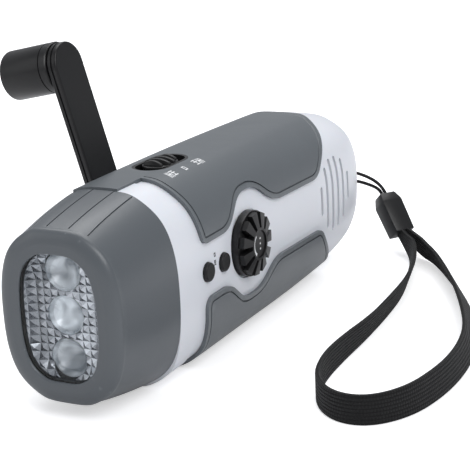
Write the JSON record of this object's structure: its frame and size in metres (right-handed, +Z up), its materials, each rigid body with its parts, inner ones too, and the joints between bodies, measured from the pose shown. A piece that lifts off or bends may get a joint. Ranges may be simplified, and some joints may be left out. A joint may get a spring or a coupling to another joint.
{
  "type": "hand crank flashlight",
  "caption": "Oval hand torch with round lamps behind a window, a folding crank with a knob, a side dial, push buttons, a slide switch, speaker slots and a wrist strap.",
  "frame": {"origin": "centre of the flat underside, the face that it rests on", "axes": "+Z up, -Y the way the lamp shines, +X the side with the dial and buttons"},
  "size_m": [0.1378, 0.1666, 0.0843],
  "materials": {
    "white_shell": "satin moulded white plastic",
    "grey_casing": "fine grained grey plastic",
    "grey_grip": "fine grained soft-touch grey plastic",
    "black_plastic": "satin black plastic",
    "clear_window": "clear moulded window",
    "soft_seal": "black sealing ring",
    "silvered_tray": "vacuum silvered plastic",
    "lamp_dome": "clear lamp epoxy",
    "circuit_board": "green board lacquer",
    "plated_steel": "nickel plated steel",
    "switch_metal": "pressed metal can",
    "gear_nylon": "natural nylon",
    "pinion_brass": "cut brass",
    "ferrite": "sintered ferrite",
    "copper_wire": "enamelled copper winding",
    "cell_steel": "bright cell case",
    "cone_paper": "dark pulp cone",
    "black_cord": "braided thin cord",
    "black_webbing": "woven flat webbing"
  },
  "bodies": {
    "casing": {"front_bezel": "grey_casing", "lens_window": "clear_window", "lens_seal": "soft_seal", "reflector": "silvered_tray", "led_lenses": "lamp_dome", "led_board": "circuit_board", "head_shell": "grey_casing", "left_shell": "white_shell", "right_shell": "white_shell", "top_grip": "grey_grip", "bottom_grip": "grey_grip", "shell_screws": "plated_steel", "switch_frame": "black_plastic", "slide_switch": "switch_metal", "button_switches": "black_plastic", "potentiometer": "switch_metal", "main_board": "circuit_board", "board_screws": "plated_steel", "ferrite_antenna": "ferrite", "antenna_clips": "gear_nylon", "speaker_frame": "switch_metal", "speaker_cone": "cone_paper", "speaker_magnet": "ferrite", "battery_cells": "cell_steel", "battery_cradle": "black_plastic", "gear_plate_outer": "plated_steel", "gear_plate_inner": "gear_nylon", "frame_screws": "plated_steel", "gear_axles": "plated_steel", "stator_can": "switch_metal", "coil": "copper_wire", "knob_well": "black_plastic", "lanyard_bar": "plated_steel", "lanyard_cord": "black_cord", "cord_slider": "black_plastic", "wrist_strap": "black_webbing"},
    "crank": {"crank_shaft": "plated_steel", "crank_hub": "black_plastic", "hinge_pin": "plated_steel", "crank_gear": "gear_nylon"},
    "arm": {"crank_arm": "black_plastic", "knob_stud": "plated_steel", "knob_screw": "plated_steel"},
    "knob": {"crank_knob": "black_plastic"},
    "first_gear_set": {"first_gear": "gear_nylon"},
    "second_gear_set": {"second_gear": "gear_nylon"},
    "rotor_set": {"rotor": "ferrite", "rotor_pinion": "pinion_brass"},
    "slider": {"switch_slider": "black_plastic"},
    "dial": {"volume_dial": "black_plastic"},
    "scan": {"scan_button": "black_plastic"},
    "reset": {"reset_button": "black_plastic"}
  },
  "joints": [
    {"name": "crank_turn", "type": "hinge", "parent": "casing", "child": "crank", "pos_m": [-0.0233, -0.01, 0.0291], "axis": [1, 0, 0], "continuous": true},
    {"name": "arm_fold", "type": "hinge", "parent": "crank", "child": "arm", "pos_m": [-0.0262, -0.01042, 0.03308], "axis": [0, -0.9945, -0.1045], "range_deg": [0, 168.3]},
    {"name": "knob_spin", "type": "hinge", "parent": "arm", "child": "knob", "pos_m": [-0.03543, -0.01507, 0.07739], "axis": [-0.9792, 0.0212, -0.2017], "continuous": true},
    {"name": "first_gear_spin", "type": "hinge", "parent": "casing", "child": "first_gear_set", "pos_m": [-0.012, 0.00773, 0.03223], "axis": [1, 0, 0], "continuous": true},
    {"name": "second_gear_spin", "type": "hinge", "parent": "casing", "child": "second_gear_set", "pos_m": [-0.009, 0.01161, 0.01774], "axis": [1, 0, 0], "continuous": true},
    {"name": "rotor_spin", "type": "hinge", "parent": "casing", "child": "rotor_set", "pos_m": [-0.006, -0.00029, 0.01617], "axis": [1, 0, 0], "continuous": true},
    {"name": "switch_slide", "type": "slide", "parent": "casing", "child": "slider", "axis": [0, 1, 0], "range_m": [-0.0032, 0.0032]},
    {"name": "volume_turn", "type": "hinge", "parent": "casing", "child": "dial", "pos_m": [0.0215, -0.0157, 0.0298], "axis": [1, 0, 0], "range_deg": [-150, 150]},
    {"name": "scan_press", "type": "slide", "parent": "casing", "child": "scan", "axis": [-1, 0, 0], "range_m": [0, 0.0008], "stiffness_N_per_m": 1000},
    {"name": "reset_press", "type": "slide", "parent": "casing", "child": "reset", "axis": [-1, 0, 0], "range_m": [0, 0.0008], "stiffness_N_per_m": 1000}
  ],
  "couplings": [
    {"joint": "first_gear_spin", "follows": "crank_turn", "ratio": -4},
    {"joint": "second_gear_spin", "follows": "crank_turn", "ratio": 16},
    {"joint": "rotor_spin", "follows": "crank_turn", "ratio": -48}
  ]
}
